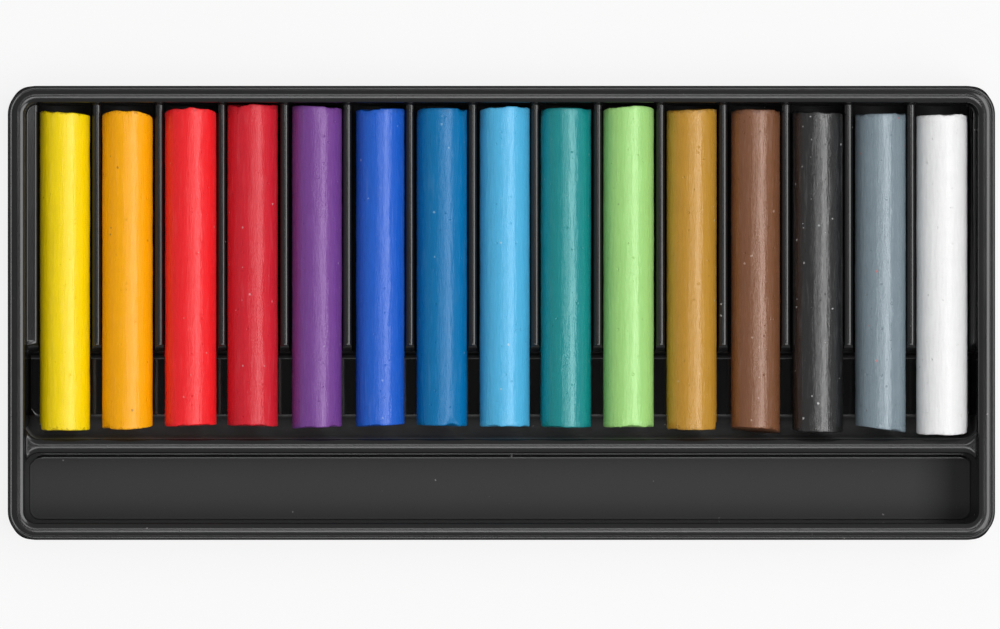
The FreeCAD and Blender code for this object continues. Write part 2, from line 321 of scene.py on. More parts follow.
def slope(first, second, height):
    """The place of the line between two circles at a height."""
    normal = touching_normal(first, second)
    start = touch(first, normal)
    end = touch(second, normal)
    return start[0] + (end[0] - start[0]) * (height - start[1]) / (end[1] - start[1])


def beyond(first, second, reach):
    """The point of a circle whose two touching lines meet first and second, at a distance from both."""
    across = second[0] - first[0]
    up = second[1] - first[1]
    span = math.hypot(across, up)
    first_reach = first[2] + reach
    second_reach = second[2] + reach
    along = (first_reach**2 - second_reach**2 + span**2) / (2 * span)
    aside = math.sqrt(first_reach**2 - along**2)
    return (first[0] + (along * across - aside * up) / span, first[1] + (along * up + aside * across) / span)


def profile_points(circles, turn_step):
    """Points along the line over the circles, straight between them and stepped round each."""
    normals = [touching_normal(first, second) for first, second in zip(circles, circles[1:])]
    points = [touch(circles[0], normals[0])]
    for circle, before, after in zip(circles[1:], normals, normals[1:]):
        start = math.atan2(before[1], before[0])
        end = math.atan2(after[1], after[0])
        if circle[2] > 0:
            turn = -((start - end) % math.tau)
        else:
            turn = (end - start) % math.tau
        steps = math.ceil(abs(turn) / turn_step) if circle[2] else 0
        for step in range(steps + 1):
            way = start + turn * step / max(steps, 1)
            points.append(touch(circle, (math.cos(way), math.sin(way))))
    points.append(touch(circles[-1], normals[-1]))
    apart = [points[0]]
    for point in points[1:]:
        if math.dist(point, apart[-1]) > tiny:
            apart.append(point)
    return apart


class Layout:
    """Places that follow from the tray's sizes."""

    def __init__(self, sizes):
        low, high = tray_box
        self.length = high.x - low.x
        self.width = high.y - low.y
        self.height = high.z - low.z
        self.floor = sizes.sheet
        bead = (sizes.skirt_flare + sizes.bead_inset, self.height - sizes.bead_radius, sizes.bead_radius)
        lip = (
            sizes.skirt_flare + sizes.lip_radius,
            self.height - sizes.lip_drop - sizes.lip_radius,
            sizes.lip_radius,
        )
        valley = beyond(lip, bead, sizes.valley_radius)
        reach = sizes.bead_radius - sizes.inner_edge_radius
        inner_edge = (
            bead[0] + reach * math.sin(sizes.inner_edge_angle),
            bead[1] + reach * math.cos(sizes.inner_edge_angle),
            sizes.inner_edge_radius,
        )
        self.wall_top = inner_edge
        wall_top_inset = inner_edge[0] + inner_edge[2]
        self.wall_foot = (wall_top_inset + sizes.wall_run, self.floor, 0)
        self.rim_line = [
            (0, 0, 0), lip, (valley[0], valley[1], -sizes.valley_radius), bead, inner_edge, self.wall_foot
        ]
        self.corner_centre = sizes.skirt_flare + sizes.rim_corner
        self.reach = self.length / 2 - bead[0]
        self.far_reach = self.width / 2 - bead[0]
        self.groove_axis = sizes.groove_floor + sizes.groove_radius
        self.ridge_top = self.groove_axis + sizes.ridge_rise
        self.groove_pitch = 2 * (sizes.groove_radius + sizes.ridge_radius)
        self.wall_x = self.length / 2 - wall_top_inset
        self.first_groove = sizes.first_groove - self.length / 2
        crown_reach = sizes.rib_crown - sizes.rib_edge_radius
        self.rib_crown_height = sizes.rib_height - sizes.rib_crown
        self.rib_edge_aside = crown_reach * math.sin(sizes.rib_edge_angle)
        self.rib_edge_height = self.rib_crown_height + crown_reach * math.cos(sizes.rib_edge_angle)
        rib_half = self.rib_edge_aside + sizes.rib_edge_radius
        self.rib_y = self.width / 2 - sizes.rib_place
        self.nose_y = self.rib_y + rib_half + sizes.trough_width


# How finely round shapes are stepped
corner_steps = 16
crease_steps = 4
profile_step = math.radians(5)
nose_step = math.radians(12)
groove_sides = 96
ridge_sides = 40
# Two places nearer than this are one
tiny = 0.00001
# The least upright share of a level face's normal
level_limit = 0.9
# Faces that meet at less than this run on into each other, and up to the next are shaded as one
tangent_angle = math.radians(30)
smooth_angle = math.radians(40)


def add_outline(name, layout, inset, height, radius):
    """A level, rounded rectangle at an inset from the skirt's foot: a plane with bevelled corners."""
    outline = add(name, bpy.ops.mesh.primitive_plane_add, size=1, location=(0, 0, height))
    with editing(outline, "VERT"):
        bpy.ops.mesh.select_all(action="SELECT")
        bpy.ops.transform.resize(value=(layout.length - 2 * inset, layout.width - 2 * inset, 1))
        bpy.ops.mesh.bevel(offset=radius, segments=corner_steps, affect="VERTICES", clamp_overlap=False)
    settle(outline)
    return outline


def bridge_levels(obj, low, high):
    """Bridges the two closed rows of edges that lie level at these heights."""

    def level_edge(edge):
        heights = [vert.co.z for vert in edge.verts]
        level = any(max(abs(z - wanted) for z in heights) < tiny for wanted in (low, high))
        return level and len(edge.link_faces) < 2

    with editing(obj, "EDGE"):
        pick(obj, "EDGE", level_edge)
        bpy.ops.mesh.bridge_edge_loops()


def make_rim(layout, sizes):
    """The skirt, the lip, the valley and the bead, stepped inwards from a rounded plane."""
    points = profile_points(layout.rim_line, profile_step)[1:-1]
    inset, height = points[0]
    rim = add_outline("tray", layout, inset, height, layout.corner_centre - inset)
    with editing(rim, "FACE"):
        bpy.ops.mesh.select_all(action="SELECT")
        for before, after in zip(points, points[1:]):
            bpy.ops.mesh.inset(thickness=after[0] - before[0], depth=after[1] - before[1])
        bpy.ops.mesh.delete(type="FACE")
    foot = add_outline("skirt_foot", layout, 0, 0, sizes.base_corner)
    with editing(foot, "FACE"):
        bpy.ops.mesh.select_all(action="SELECT")
        bpy.ops.mesh.delete(type="ONLY_FACE")
    join(rim, foot)
    bridge_levels(rim, 0, height)
    return rim, points[-1]


def make_room(layout, sizes, top):
    """The room inside the rim, as a solid: its floor and its four leaning walls."""
    inset, height = top
    room = add_outline("room", layout, inset, height, layout.corner_centre - inset)
    floor = add_outline("floor", layout, layout.wall_foot[0], layout.floor, sizes.well_corner)
    floor.location.x = -sizes.well_shift
    settle(floor)
    join(room, floor)
    bridge_levels(room, layout.floor, height)
    face_outwards(room)
    mark_faces(room, wall_kind)
    for face in room.data.polygons:
        if face.normal.z < -level_limit:
            face.material_index = floor_kind
    return room


def draw_outline(name, points):
    """A face drawn by hand: one vertex, extruded from point to point, and then filled."""
    outline = add(name, bpy.ops.mesh.primitive_plane_add, size=1)
    with editing(outline, "VERT"):
        bpy.ops.mesh.select_all(action="SELECT")
        bpy.ops.mesh.merge(type="CENTER")
        bpy.ops.transform.translate(value=points[0])
        for before, after in zip(points, points[1:]):
            step = Vector(after) - Vector(before)
            bpy.ops.mesh.extrude_vertices_move(TRANSFORM_OT_translate={"value": step})
        ends = (points[0], points[-1])
        pick(outline, "VERT", lambda vert: any(math.dist(vert.co, end) < tiny for end in ends))
        bpy.ops.mesh.edge_face_add()
        bpy.ops.mesh.select_all(action="SELECT")
        bpy.ops.mesh.edge_face_add()
    return outline


def make_groove_block(layout, sizes):
    """The block under the grooves, ridges and ledges, as a solid that is cut out of the room."""
    far_y = layout.far_reach
    first_ridge = layout.first_groove - layout.groove_pitch / 2
    last_ridge = first_ridge + len(sticks) * layout.groove_pitch
    groove = add(
        "groove", bpy.ops.mesh.primitive_circle_add, vertices=groove_sides, radius=sizes.groove_radius,
        location=(layout.first_groove, far_y, layout.groove_axis), rotation=(math.pi / 2, 0, 0),
    )
    ridge = add(
        "ridge", bpy.ops.mesh.primitive_circle_add, vertices=ridge_sides, radius=sizes.ridge_radius,
        location=(first_ridge, far_y, layout.groove_axis), rotation=(math.pi / 2, 0, 0),
    )
    ridge.scale.y = sizes.ridge_rise / sizes.ridge_radius
    for piece, side, count in ((groove, 1, len(sticks)), (ridge, -1, len(sticks) + 1)):
        settle(piece)
        with editing(piece, "VERT"):
            pick(piece, "VERT", lambda vert: side * (vert.co.z - layout.groove_axis) > tiny)
            bpy.ops.mesh.delete(type="VERT")
        finish_with(
            piece, "ARRAY", count=count, use_relative_offset=False, use_constant_offset=True,
            constant_offset_displace=(layout.groove_pitch, 0, 0),
        )
    block = join(groove, ridge)
    block.name = "groove_block"
    bottom = -sizes.sheet
    with editing(block, "VERT"):
        bpy.ops.mesh.select_all(action="SELECT")
        bpy.ops.mesh.remove_doubles(threshold=tiny)
        pick(block, "VERT", lambda vert: vert.co.x < first_ridge - tiny or vert.co.x > last_ridge + tiny)
        bpy.ops.mesh.delete(type="VERT")
        for side, end in ((-1, first_ridge), (1, last_ridge)):
            pick(block, "VERT", lambda vert: abs(vert.co.x - end) < tiny)
            for step in ((side * layout.reach - end, 0, 0), (0, 0, bottom - layout.ridge_top)):
                bpy.ops.mesh.extrude_vertices_move(TRANSFORM_OT_translate={"value": step})
        pick(block, "VERT", lambda vert: abs(vert.co.z - bottom) < tiny)
        bpy.ops.mesh.edge_face_add()
        bpy.ops.mesh.select_all(action="SELECT")
        bpy.ops.mesh.edge_face_add()
        near = layout.nose_y - layout.groove_pitch - far_y
        bpy.ops.mesh.extrude_region_move(TRANSFORM_OT_translate={"value": (0, near, 0)})
    face_outwards(block)
    whole_turn = math.pi / 2 - math.atan2(sizes.nose_run, layout.ridge_top)
    steps = math.ceil(whole_turn / nose_step)
    axis = Vector((0, layout.nose_y + sizes.nose_radius, layout.ridge_top - sizes.nose_radius))
    for step in range(steps):
        turn = whole_turn * (step + 1) / steps
        outwards = Vector((0, -math.sin(turn), math.cos(turn)))
        point = axis + sizes.nose_radius * outwards
        with editing(block, "FACE"):
            bpy.ops.mesh.select_all(action="SELECT")
            bpy.ops.mesh.bisect(plane_co=point, plane_no=outwards, use_fill=True, clear_outer=True)
    mark_faces(block, groove_kind)
    return block


def make_rib(layout, sizes):
    """The rib, as a solid that is cut out of the room, wider where it meets the side walls.

    Its cross-sections lean as the side walls do, so that it meets them alike at every height."""
    crease = sizes.crease_radius
    bottom = -sizes.sheet
    well_foot = layout.rib_y - sizes.rib_well_spread
    trough_foot = layout.rib_y + sizes.rib_trough_spread
    well_edge = (layout.rib_y - layout.rib_edge_aside, layout.rib_edge_height, sizes.rib_edge_radius)
    line = [
        (slope((well_foot, layout.floor + crease, -crease), well_edge, bottom), bottom, 0),
        well_edge,
        (layout.rib_y, layout.rib_crown_height, sizes.rib_crown),
        (layout.rib_y + layout.rib_edge_aside, layout.rib_edge_height, sizes.rib_edge_radius),
        (trough_foot, layout.floor + sizes.trough_cove, -sizes.trough_cove),
        (trough_foot + crease, layout.floor, 0),
    ]
    profile = profile_points(line, profile_step)[:-1] + [(trough_foot, bottom)]
    walls = (layout.wall_top, layout.wall_foot)
    wall = slope(*walls, layout.rib_edge_height)
    places = [wall + flare_size(turn, sizes.trough_corner)[0] for turn in flare_turns]
    start = layout.length / 2 - layout.reach
    overshoot = (places[0] - start) * math.tan(flare_turns[0])
    spreads = {}
    for side, radius in ((1, sizes.trough_corner), (-1, sizes.well_corner)):
        spread = [flare_size(turn, radius)[1] for turn in flare_turns]
        spreads[side] = [spread[0] + overshoot] + spread + [0]
    places = [start] + places + [layout.length / 2 + layout.wall_foot[0]]
    points = [(start - layout.length / 2 + slope(*walls, z) - wall, y, z) for y, z in profile]
    rib = draw_outline("rib", points)
    with editing(rib, "VERT"):
        bpy.ops.mesh.select_all(action="SELECT")
        for number, place in enumerate(places):
            if number > 0:
                step = (place - places[number - 1], 0, 0)
                bpy.ops.mesh.extrude_region_move(TRANSFORM_OT_translate={"value": step})
            section = {vert.index for vert in bmesh.from_edit_mesh(rib.data).verts if vert.select}
            for side, spread in spreads.items():
                before = spread[number - 1] if number > 0 else 0
                pick(
                    rib, "VERT",
                    lambda vert: vert.index in section and side * (vert.co.y - layout.rib_y) > tiny,
                )
                bpy.ops.transform.translate(value=(0, side * (spread[number] - before), 0))
            pick(rib, "VERT", lambda vert: vert.index in section)
        bpy.ops.mesh.select_all(action="SELECT")
        bpy.ops.mesh.bisect(plane_co=(0, 0, 0), plane_no=(1, 0, 0), clear_outer=True)
    finish_with(rib, "MIRROR", merge_threshold=tiny)
    face_outwards(rib)
    mark_faces(rib, rib_kind)
    return rib


# How the rib's ends flare: a quarter turn's first part, from along the wall to along the rib
flare_turns = [math.radians(degrees) for degrees in (50, 42, 34, 26, 18, 9, 0)]


def flare_size(turn, radius):
    """How far a flare's point lies from the wall, and how far it spreads from the rib's side."""
    return radius * (1 - math.sin(turn)), radius * (1 - math.cos(turn))


def round_creases(room, sizes, top):
    """Rounds the edges where walls, floors, rib and grooves meet, which are the sheet's inner bends."""

    def crease(edge):
        if len(edge.link_faces) != 2 or max(vert.co.z for vert in edge.verts) > top[1] - tiny:
            return False
        kinds = {face.material_index for face in edge.link_faces}
        if len(kinds) == 1:
            return False
        return wall_kind in kinds or edge.calc_face_angle() > tangent_angle

    with editing(room, "EDGE"):
        pick(room, "EDGE", crease)
        bpy.ops.mesh.bevel(
            offset=sizes.crease_radius, segments=crease_steps, affect="EDGES", clamp_overlap=False
        )


def smooth(obj):
    """Smooth shading that keeps flat faces flat and real edges sharp."""
    select_only(obj)
    bpy.ops.object.shade_smooth_by_angle(angle=smooth_angle)
    finish_with(obj, "WEIGHTED_NORMAL", keep_sharp=True)


def make_tray(layout, sizes):
    """The whole drawn sheet, as one mesh with an even thickness."""
    tray, top = make_rim(layout, sizes)
    room = make_room(layout, sizes, top)
    cut(room, make_rib(layout, sizes))
    cut(room, make_groove_block(layout, sizes))
    round_creases(room, sizes, top)
    with editing(room, "FACE"):
        pick(room, "FACE", lambda face: min(vert.co.z for vert in face.verts) > top[1] - tiny)
        bpy.ops.mesh.delete(type="FACE")
        bpy.ops.mesh.select_all(action="SELECT")
        bpy.ops.mesh.flip_normals()
    join(tray, room)
    with editing(tray, "VERT"):
        bpy.ops.mesh.select_all(action="SELECT")
        bpy.ops.mesh.remove_doubles(threshold=tiny)
        bpy.ops.mesh.normals_make_consistent(inside=False)
    mark_faces(tray, wall_kind)
    finish_with(tray, "SOLIDIFY", thickness=sizes.sheet, offset=-1, use_quality_normals=True)
    with editing(tray, "VERT"):
        pick(tray, "VERT", lambda vert: vert.co.z < -tiny / 2)
        bpy.ops.transform.resize(value=(1, 1, 0), center_override=(0, 0, 0))
    smooth(tray)
    return tray


# Sticks

stick_sides = 72
stick_rings = 120
cap_rings = 4
edge_steps = 3
chips_per_end = 3
smallest_chip_share = 0.3
# How wide the waves of the surface and of the broken ends are, and how far a chip and a broken end reach
long_wave = 0.006
short_wave = 0.0015
end_wave = 0.0012
chip_reach = 0.0013
end_reach = 0.003


def make_blank(sizes):
    """A plain round stick, longer than any of them, that each stick is cut from."""
    low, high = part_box("pastel_white")
    radius = (high.x - low.x) / 2
    blank = add(
        "blank", bpy.ops.mesh.primitive_cylinder_add, vertices=stick_sides, radius=radius,
        depth=2 * (high.y - low.y), rotation=(math.pi / 2, 0, 0),
    )
    settle(blank)
    return blank


def copy_of(source, name):
    """A copy of an object with its own mesh."""
    select_only(source)
    bpy.ops.object.duplicate()
    made = bpy.context.active_object
    made.name = name
    made.data.name = name
    return made


def roughen(obj, name, wave, height, **values):
    """Moves a surface in and out by a soft random pattern, half of the height each way."""
    texture = bpy.data.textures.get(name) or bpy.data.textures.new(name, "CLOUDS")
    texture.noise_scale = wave
    finish_with(obj, "DISPLACE", texture=texture, texture_coords="LOCAL", strength=height, **values)


def chip(obj, point, step):
    """Pushes a small bite into a stick's edge."""
    pick(obj, "VERT", lambda vert: (vert.co - point).length < chip_reach / 2)
    bpy.ops.transform.translate(
        value=step, use_proportional_edit=True, proportional_edit_falloff="ROOT", proportional_size=chip_reach
    )


def make_stick(blank, stick, sizes):
    """One stick: cut to length at both ends, with worn edges, a rolled surface and broken ends."""
    low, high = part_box("pastel_" + stick.name)
    radius = (high.x - low.x) / 2
    size = 2 * radius / blank.dimensions.x
    middle = (low + high) / 2
    half = (high.y - low.y) / 2
    obj = copy_of(blank, "stick_" + stick.name)
    ends = ((1, high.y + sizes.far_reach, stick.far_shares), (-1, low.y, stick.near_shares))
    with editing(obj, "EDGE"):
        bpy.ops.mesh.select_all(action="SELECT")
        bpy.ops.transform.resize(value=(size, 1, size))
        bpy.ops.transform.translate(value=middle)
        for facing, place, (dome_share, skew_share) in ends:
            top = Vector((middle.x, place - facing * abs(skew_share) * radius, middle.z + radius))
            bpy.ops.mesh.select_all(action="SELECT")
            bpy.ops.mesh.bisect(
                plane_co=top, plane_no=(-skew_share, facing, -dome_share), use_fill=True, clear_outer=True
            )
        pick(obj, "EDGE", lambda edge: edge.calc_length() < half)
        bpy.ops.mesh.bevel(offset=sizes.edge_radius, segments=edge_steps, affect="EDGES", clamp_overlap=False)
        pick(obj, "EDGE", lambda edge: edge.calc_length() > half)
        bpy.ops.mesh.subdivide(number_cuts=stick_rings)
        pick(obj, "FACE", lambda face: len(face.verts) > 4)
        for ring in range(cap_rings):
            bpy.ops.mesh.inset(thickness=radius / (cap_rings + 1), use_individual=True)
        bpy.ops.mesh.poke()
    group = obj.vertex_groups.new(name="ends")
    for vert in obj.data.vertices:
        inwards = half - abs(vert.co.y - middle.y)
        group.add([vert.index], max(0, 1 - max(0, inwards) / end_reach) ** 2, "REPLACE")
    roughen(obj, "rolled", long_wave, 2 * sizes.waviness)
    roughen(obj, "pitted", short_wave, sizes.waviness)
    roughen(obj, "broken", end_wave, 2 * sizes.end_roughness, direction="Y", vertex_group="ends")
    dice = random.Random(stick.name)
    with editing(obj, "VERT"):
        for facing, place, shares in ends:
            for number in range(chips_per_end):
                turn = dice.uniform(0, math.pi)
                depth = sizes.chip_depth * dice.uniform(smallest_chip_share, 1)
                outwards = Vector((math.cos(turn), 0, math.sin(turn)))
                point = Vector((middle.x, place, middle.z)) + radius * outwards
                chip(obj, point, -depth * (facing * Vector((0, 1, 0)) + outwards / 2))
    smooth(obj)
    return obj


# Materials


class Nodes:
    """Places nodes in a material, a group or the world, and sets or links their inputs by name."""

    def __init__(self, tree):
        self.tree = tree
        tree.nodes.clear()

    def add(self, kind, inputs=None, **settings):
        node = self.tree.nodes.new(kind)
        node.location = (node_spacing * len(self.tree.nodes), 0)
        for key, value in settings.items():
            setattr(node, key, value)
        for key, value in (inputs or {}).items():
            if isinstance(value, bpy.types.NodeSocket):
                self.tree.links.new(value, node.inputs[key])
            else:
                node.inputs[key].default_value = value
        return node

    def math(self, operation, *values):
        return self.add("ShaderNodeMath", dict(enumerate(values)), operation=operation).outputs[0]

    def blend(self, share, first, second):
        """The first colour where share is 0 and the second where it is 1."""
        node = self.add("ShaderNodeMix", {"Factor": share}, data_type="RGBA")
        for number, value in zip(mix_inputs, (first, second)):
            if isinstance(value, bpy.types.NodeSocket):
                self.tree.links.new(value, node.inputs[number])
            else:
                node.inputs[number].default_value = (*value, 1)
        return node.outputs[mix_output]

    def remap(self, value, low, high, to_low=0.0, to_high=1.0):
        """Moves a range of values to another one, evenly, and holds them inside it."""
        values = {"Value": value, "From Min": low, "From Max": high, "To Min": to_low, "To Max": to_high}
        return self.add("ShaderNodeMapRange", values).outputs["Result"]

    def plus(self, value, mask, extra):
        """A value with as much of extra added as the mask says."""
        return self.math("MULTIPLY_ADD", mask, extra, value)

    def noise(self, vector, size, detail, roughness):
        values = {"Vector": vector, "Scale": 1 / size, "Detail": detail, "Roughness": roughness}
        return self.add("ShaderNodeTexNoise", values).outputs["Fac"]

    def group(self, tree, **values):
        node = self.add("ShaderNodeGroup", node_tree=tree)
        for key, value in values.items():
            if isinstance(value, bpy.types.NodeSocket):
                self.tree.links.new(value, node.inputs[key])
            else:
                node.inputs[key].default_value = value
        return node.outputs[0]


node_spacing = 200
# Which of the Mix node's sockets hold colours
mix_inputs = (6, 7)
mix_output = 2
# What the values of a noise pattern mostly lie between
noise_range = (0.3, 0.7)


def new_group(name, output, **inputs):
    """An empty node group with named number inputs, a vector input and one named output."""
    tree = bpy.data.node_groups.new(name, "ShaderNodeTree")
    tree.interface.new_socket("Vector", in_out="INPUT", socket_type="NodeSocketVector")
    for key, default in inputs.items():
        tree.interface.new_socket(key, in_out="INPUT", socket_type="NodeSocketFloat").default_value = default
    tree.interface.new_socket(output, in_out="OUTPUT", socket_type="NodeSocketFloat")
    nodes = Nodes(tree)
    return nodes, nodes.add("NodeGroupInput").outputs


def specks_group():
    """Crumbs and specks: one in some cells of a random pattern, each of its own size and shape."""
    nodes, given = new_group("Specks", "Mask", **pinholes)
    scale = nodes.math("DIVIDE", 1, given["Spacing"])
    scaled = nodes.add("ShaderNodeVectorMath", {"Vector": given["Vector"], "Scale": scale}, operation="SCALE")
    warp = nodes.add("ShaderNodeTexNoise", {"Vector": scaled.outputs[0], "Scale": warps_per_cell})
    bent = nodes.add(
        "ShaderNodeVectorMath", {0: warp.outputs["Color"], 1: [warp_share] * 3, 2: scaled.outputs[0]},
        operation="MULTIPLY_ADD",
    )
    cells = nodes.add("ShaderNodeTexVoronoi", {"Vector": bent.outputs[0], "Scale": 1.0})
    dice = nodes.add("ShaderNodeSeparateColor", {"Color": cells.outputs["Color"]})
    chosen = nodes.math("LESS_THAN", dice.outputs["Red"], given["Share"])
    size = nodes.remap(dice.outputs["Green"], 0, 1, smallest_speck_share, 1)
    radius = nodes.math("MULTIPLY", size, given["Size"])
    inner = nodes.math("MULTIPLY", radius, full_speck_share)
    inside = nodes.remap(cells.outputs["Distance"], inner, radius, 1, 0)
    nodes.add("NodeGroupOutput", {"Mask": nodes.math("MULTIPLY", chosen, inside)})
    return nodes.tree


# How the specks' outlines are bent, and how much of a speck is its full strength
warps_per_cell = 4.0
warp_share = 0.25
smallest_speck_share = 0.3
full_speck_share = 0.6


def streaks_group():
    """Soft streaks along the piece's depth, of a given width and length, from 0 to 1."""
    nodes, given = new_group("Streaks", "Value", **fine_streaks)
    across = nodes.math("DIVIDE", 1, given["Width"])
    along = nodes.math("DIVIDE", 1, given["Length"])
    scale = nodes.add("ShaderNodeCombineXYZ", {"X": across, "Y": along, "Z": across}).outputs[0]
    scaled = nodes.add("ShaderNodeVectorMath", {0: given["Vector"], 1: scale}, operation="MULTIPLY")
    noise = nodes.noise(scaled.outputs[0], *streak_pattern)
    nodes.add("NodeGroupOutput", {"Value": nodes.remap(noise, *noise_range)})
    return nodes.tree


def new_material(name):
    """A new material with a Principled shader, and the helper that adds its nodes."""
    material = bpy.data.materials.new(name)
    material.use_nodes = True
    nodes = Nodes(material.node_tree)
    shader = nodes.add("ShaderNodeBsdfPrincipled")
    nodes.add("ShaderNodeOutputMaterial", {"Surface": shader.outputs[0]})
    place = nodes.add("ShaderNodeTexCoord").outputs["Object"]
    return material, nodes, shader, place


def feed(nodes, shader, **values):
    """Links values to the shader's inputs, named with _ for a space."""
    for key, value in values.items():
        nodes.tree.links.new(value, shader.inputs[key.replace("_", " ")])


def bump(nodes, heights):
    """A normal from several (height, distance) pairs, each laid over the one before."""
    normal = None
    for height, distance in heights:
        values = {"Height": height, "Distance": distance}
        if normal:
            values["Normal"] = normal
        normal = nodes.add("ShaderNodeBump", values).outputs[0]
    return normal


def shade(tone, share):
    """A darker colour, with this share of its light."""
    return [channel * share for channel in tone]


# Noise patterns: how wide the waves are, how many finer layers they have, and how strong those are
streak_pattern = (1.0, 4.0, 0.6)
smudge_pattern = (0.02, 4.0, 0.6)
wave_pattern = (0.012, 1.0, 0.5)
satin_pattern = (0.0004, 2.0, 0.5)
mottle_pattern = (0.004, 3.0, 0.6)
grain_pattern = (0.0007, 3.0, 0.7)
end_pattern = (0.0010, 3.0, 0.65)
floor_pattern = (0.05, 3.0, 0.5)
# Streaks' width and length, and the size of the cells that hold specks, in metres. Size is a speck's
# largest radius in its cell, and Share says how many of the cells hold one.
coarse_dust = {"Spacing": 0.0024, "Size": 0.11, "Share": 0.10}
fine_dust = {"Spacing": 0.0009, "Size": 0.12, "Share": 0.05}
crumbs = {"Spacing": 0.0016, "Size": 0.22}
pinholes = {"Spacing": 0.0011, "Size": 0.3, "Share": 0.12}
fine_streaks = {"Width": 0.0008, "Length": 0.008}
broad_streaks = {"Width": 0.003, "Length": 0.02}

# How the plastic's bumps stand out, how rough it is, and how much of it the dust covers
wave_height = 0.00003
satin_height = 0.000002
dust_height = 0.00002
polished_roughness = (0.08, 0.10)
worn_roughness = (0.08, 0.10)
groove_roughness = 0.6
dull_roughness = 0.7
dust_roughness = 0.4
fine_dust_share = 0.35
dust_cover_share = 0.6
uneven_shares = (0.9, 1)
dull_from_share = 0.15
plastic_ior = 1.52


def plastic_material(colours, layout, sizes, groups):
    """Black sheet: polished, worn on top, dull in the grooves and the lower well, and dusty on the rib."""
    material, nodes, shader, place = new_material("Tray plastic")
    crease = sizes.crease_radius
    axes = nodes.add("ShaderNodeSeparateXYZ", {"Vector": place}).outputs
    smudge = nodes.noise(place, *smudge_pattern)
    grain = nodes.noise(place, *satin_pattern)
    wave = nodes.noise(place, *wave_pattern)
    dust = nodes.group(groups["Specks"], Vector=place, **coarse_dust)
    finer = nodes.group(groups["Specks"], Vector=place, **fine_dust)
    dust = nodes.math("MAXIMUM", dust, nodes.math("MULTIPLY", finer, fine_dust_share))
    low_down = nodes.remap(axes["Z"], layout.floor + crease, layout.floor + tiny)
    well_edge = layout.rib_y - sizes.rib_well_spread
    satin = nodes.math("MULTIPLY", low_down, nodes.remap(axes["Y"], well_edge, well_edge - crease))
    # Painted light: where the rib's slope faces the trough, below its edge and between the side walls, the
    # sheet is painted lighter, standing in for the light the slope catches. It is also made duller there.
    trough_edge = layout.rib_y + sizes.rib_trough_spread
    rib_edge = layout.rib_y + layout.rib_edge_aside
    rising = nodes.remap(axes["Y"], trough_edge + crease, rib_edge)
    facing = nodes.remap(axes["Y"], layout.rib_y, rib_edge)
    below = nodes.math("LESS_THAN", axes["Z"], layout.rib_edge_height)
    between = nodes.math("LESS_THAN", nodes.math("ABSOLUTE", axes["X"]), layout.wall_x)
    painted_slope_light = nodes.math("MULTIPLY", rising, facing)
    for limit in (below, between):
        painted_slope_light = nodes.math("MULTIPLY", painted_slope_light, limit)
    on_top = nodes.remap(axes["Z"], layout.ridge_top - crease, layout.ridge_top)
    nose_foot = layout.nose_y - sizes.nose_run - crease
    far = nodes.remap(axes["Y"], nose_foot - crease, nose_foot)
    deep_down = nodes.remap(axes["Z"], layout.groove_axis, layout.groove_axis - sizes.groove_radius / 2)
    in_groove = nodes.math("MULTIPLY", far, deep_down)
    dull = nodes.math("MAXIMUM", satin, nodes.remap(painted_slope_light, 0, dull_from_share))
    painted_slope_light = nodes.math("MULTIPLY", painted_slope_light, nodes.remap(smudge, *noise_range, *uneven_shares))
    satin = nodes.math("MULTIPLY", satin, nodes.remap(grain, *noise_range, *uneven_shares))
    # The painted slope light goes over the plastic's own colour.
    base = nodes.blend(painted_slope_light, colours.plastic, colours.painted_slope_light)
    base = nodes.blend(satin, base, colours.satin)
    base = nodes.blend(nodes.math("MULTIPLY", dust, dust_cover_share), base, colours.dust)
    rough = nodes.remap(smudge, *noise_range, *polished_roughness)
    rough = nodes.plus(rough, on_top, nodes.remap(smudge, *noise_range, *worn_roughness))
    for mask, extra in ((in_groove, groove_roughness), (dull, dull_roughness), (dust, dust_roughness)):
        rough = nodes.plus(rough, mask, extra)
    normal = bump(nodes, ((wave, wave_height), (grain, satin_height), (dust, dust_height)))
    feed(nodes, shader, Base_Color=base, Roughness=rough, Normal=normal)
    shader.inputs["IOR"].default_value = plastic_ior
    return material


# How far in the dirt of a stick's ends reaches, how much the ends add to it and where it starts and is full
dirty_reach = 0.0014
end_dirt_share = 0.40
dirt_range = (0.74, 0.88)
# How much of their light the darker tones keep, how pale the streaks are and how strong each pattern is
deep_share = 0.72
dirt_shade_share = 0.35
pale_share = 0.10
mottle_share = 0.08
grain_share = 0.35
streak_share = 0.30
crumb_share = 0.7
mottle_range = (0.35, 0.65)
grain_range = (0.62, 0.80)
streak_range = (0.6, 1.0)
# How rough a stick is, without a streak and in one, and how its bumps stand out
streak_roughness = (0.30, 0.18)
skin_roughness = (0.05, -0.03)
chalky_roughness = 0.12
mottle_height = 0.00005
streak_height = 0.00004
grain_height = 0.00006
pinhole_height = -0.00008
wax_ior = 1.5
# How white a stick's shine is where the stick's own colour has nothing of a channel
plain_shine_share = 0.65


